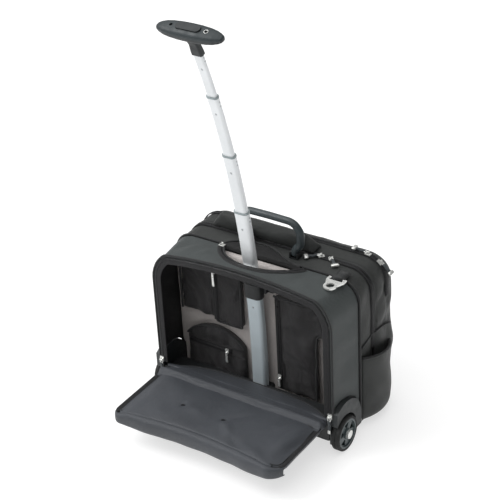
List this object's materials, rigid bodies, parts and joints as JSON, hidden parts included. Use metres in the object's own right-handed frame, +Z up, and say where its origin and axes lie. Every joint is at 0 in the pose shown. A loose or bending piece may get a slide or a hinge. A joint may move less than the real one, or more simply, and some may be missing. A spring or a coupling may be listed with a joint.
{
  "type": "rolling laptop case",
  "caption": "Soft rolling laptop case with an arched telescopic pole and T grip, a fold-down rear door, mesh pockets inside, wheels and a carry handle.",
  "frame": {"origin": "on the floor, under the middle of the bounding box of the rest pose", "axes": "+Z up; +X to the right when facing the rear door; -Y from the case towards the open rear door; +Y towards the front pocket"},
  "size_m": [0.4706, 0.446, 0.8988],
  "materials": {
    "shell_fabric": "matte woven nylon",
    "divider_fabric": "matte felted nylon",
    "lining_fabric": "matte woven lining",
    "mesh_fabric": "open mesh",
    "trim_fabric": "woven tape and webbing",
    "pull_tape": "woven cord with moulded end",
    "black_plastic": "fine moulded grain",
    "grip_plastic": "soft satin",
    "ring_plastic": "satin",
    "rim_plastic": "satin",
    "tyre": "matte",
    "tube_metal": "satin anodised",
    "zinc": "satin plated",
    "steel": "satin",
    "bush_plastic": "smooth"
  },
  "bodies": {
    "case": {"rear_gusset": "shell_fabric", "divider_panel": "divider_fabric", "main_compartment": "shell_fabric", "laptop_sleeve": "lining_fabric", "front_compartment": "shell_fabric", "front_pocket": "shell_fabric", "bottle_pockets": "shell_fabric", "piping": "trim_fabric", "zip_tapes": "trim_fabric", "base_tray": "black_plastic", "kick_plate": "black_plastic", "wheel_housings": "black_plastic", "axles": "steel", "skid_feet": "black_plastic", "pole_bracket": "black_plastic", "outer_tube": "tube_metal", "collar": "black_plastic", "collar_bracket": "black_plastic", "handle_yoke": "shell_fabric", "handle_anchors": "black_plastic", "strap_loops": "trim_fabric", "mesh_pocket_upper": "mesh_fabric", "mesh_pocket_lower": "mesh_fabric", "mesh_pocket_side": "mesh_fabric", "zip_sliders": "zinc"},
    "wheel_left": {"wheel_rim_left": "rim_plastic", "tyre_left": "tyre", "hub_cap_left": "zinc", "wheel_bush_left": "bush_plastic"},
    "wheel_right": {"wheel_rim_right": "rim_plastic", "tyre_right": "tyre", "hub_cap_right": "zinc", "wheel_bush_right": "bush_plastic"},
    "stage_1": {"stage_tube_1": "tube_metal", "end_ring_1": "ring_plastic"},
    "stage_2": {"stage_tube_2": "tube_metal", "end_ring_2": "ring_plastic"},
    "stage_3": {"stage_tube_3": "tube_metal", "end_ring_3": "ring_plastic"},
    "grip": {"stage_tube_4": "tube_metal", "grip_lower": "grip_plastic", "grip_upper": "grip_plastic", "grip_screws": "steel", "button_spring": "steel"},
    "button": {"release_button": "grip_plastic"},
    "door": {"door_panel": "shell_fabric", "door_lining": "lining_fabric"},
    "flap": {"door_flap": "shell_fabric"},
    "handle": {"carry_handle": "grip_plastic"},
    "ring_left": {"d_ring_left": "zinc"},
    "ring_right": {"d_ring_right": "zinc"},
    "upper_slider": {"upper_pocket_slider": "zinc"},
    "lower_slider": {"lower_pocket_slider": "zinc"},
    "side_slider": {"side_pocket_slider": "zinc"},
    "main_pull_left_tab": {"main_pull_left": "pull_tape"},
    "main_pull_right_tab": {"main_pull_right": "pull_tape"},
    "front_pull_left_tab": {"front_pull_left": "pull_tape"},
    "front_pull_right_tab": {"front_pull_right": "pull_tape"},
    "door_pull_left_tab": {"door_pull_left": "pull_tape"},
    "door_pull_right_tab": {"door_pull_right": "pull_tape"}
  },
  "joints": [
    {"name": "stage_1_telescope", "type": "hinge", "parent": "case", "child": "stage_1", "pos_m": [0, -1.984, 0.102], "axis": [-1, 0, 0], "range_deg": [0, 4.67]},
    {"name": "stage_2_telescope", "type": "hinge", "parent": "stage_1", "child": "stage_2", "pos_m": [0, -1.984, 0.102], "axis": [-1, 0, 0], "range_deg": [0, 3.6]},
    {"name": "stage_3_telescope", "type": "hinge", "parent": "stage_2", "child": "stage_3", "pos_m": [0, -1.984, 0.102], "axis": [-1, 0, 0], "range_deg": [0, 3.73]},
    {"name": "stage_4_telescope", "type": "hinge", "parent": "stage_3", "child": "grip", "pos_m": [0, -1.984, 0.102], "axis": [-1, 0, 0], "range_deg": [0, 2.7]},
    {"name": "release_button_press", "type": "slide", "parent": "grip", "child": "button", "axis": [0, 0.3876, -0.9218], "range_m": [0, 0.003], "stiffness_N_per_m": 900, "deforming": ["button_spring"]},
    {"name": "wheel_left_spin", "type": "hinge", "parent": "case", "child": "wheel_left", "pos_m": [-0.213, -0.001, 0.037], "axis": [1, 0, 0], "continuous": true},
    {"name": "wheel_right_spin", "type": "hinge", "parent": "case", "child": "wheel_right", "pos_m": [0.213, -0.001, 0.037], "axis": [1, 0, 0], "continuous": true},
    {"name": "door_hinge", "type": "hinge", "parent": "case", "child": "door", "pos_m": [0, -0.041, 0.07], "axis": [-1, 0, 0], "range_deg": [0, 90]},
    {"name": "door_fold", "type": "hinge", "parent": "door", "child": "flap", "pos_m": [0, -0.217, 0.0605], "axis": [-1, 0, 0], "range_deg": [0, 180]},
    {"name": "carry_handle_fold", "type": "hinge", "parent": "case", "child": "handle", "pos_m": [0, 0.089, 0.354], "axis": [1, 0, 0], "range_deg": [0, 35]},
    {"name": "d_ring_left_swing", "type": "hinge", "parent": "case", "child": "ring_left", "pos_m": [-0.217, 0.088, 0.24], "axis": [0, 1, 0], "range_deg": [0, 110]},
    {"name": "d_ring_right_swing", "type": "hinge", "parent": "case", "child": "ring_right", "pos_m": [0.172, 0.053, 0.348], "axis": [-1, 0, 0], "range_deg": [0, 110]},
    {"name": "upper_pocket_zip", "type": "slide", "parent": "case", "child": "upper_slider", "axis": [0, 0, -1], "range_m": [0, 0.1]},
    {"name": "lower_pocket_zip", "type": "slide", "parent": "case", "child": "lower_slider", "axis": [-1, 0, 0], "range_m": [0, 0.086]},
    {"name": "side_pocket_zip", "type": "slide", "parent": "case", "child": "side_slider", "axis": [0, 0, 1], "range_m": [0, 0.165]},
    {"name": "main_pull_left_swing", "type": "hinge", "parent": "case", "child": "main_pull_left_tab", "pos_m": [0.1, 0.114, 0.3494], "axis": [-0.6561, 0.7547, 0], "range_deg": [0, 90]},
    {"name": "main_pull_right_swing", "type": "hinge", "parent": "case", "child": "main_pull_right_tab", "pos_m": [0.122, 0.114, 0.3494], "axis": [-0.7071, -0.7071, 0], "range_deg": [0, 90]},
    {"name": "front_pull_left_swing", "type": "hinge", "parent": "case", "child": "front_pull_left_tab", "pos_m": [0.17537, 0.165, 0.34912], "axis": [0, 1, 0], "range_deg": [0, 80]},
    {"name": "front_pull_right_swing", "type": "hinge", "parent": "case", "child": "front_pull_right_tab", "pos_m": [0.20304, 0.165, 0.33737], "axis": [0, -1, 0], "range_deg": [0, 80]},
    {"name": "door_pull_left_swing", "type": "hinge", "parent": "case", "child": "door_pull_left_tab", "pos_m": [-0.2003, -0.0358, 0.09], "axis": [-1, 0, 0], "range_deg": [0, 80]},
    {"name": "door_pull_right_swing", "type": "hinge", "parent": "case", "child": "door_pull_right_tab", "pos_m": [0.2003, -0.0358, 0.09], "axis": [-1, 0, 0], "range_deg": [0, 80]}
  ],
  "couplings": [
    {"joint": "door_fold", "follows": "door_hinge", "ratio": 2}
  ]
}
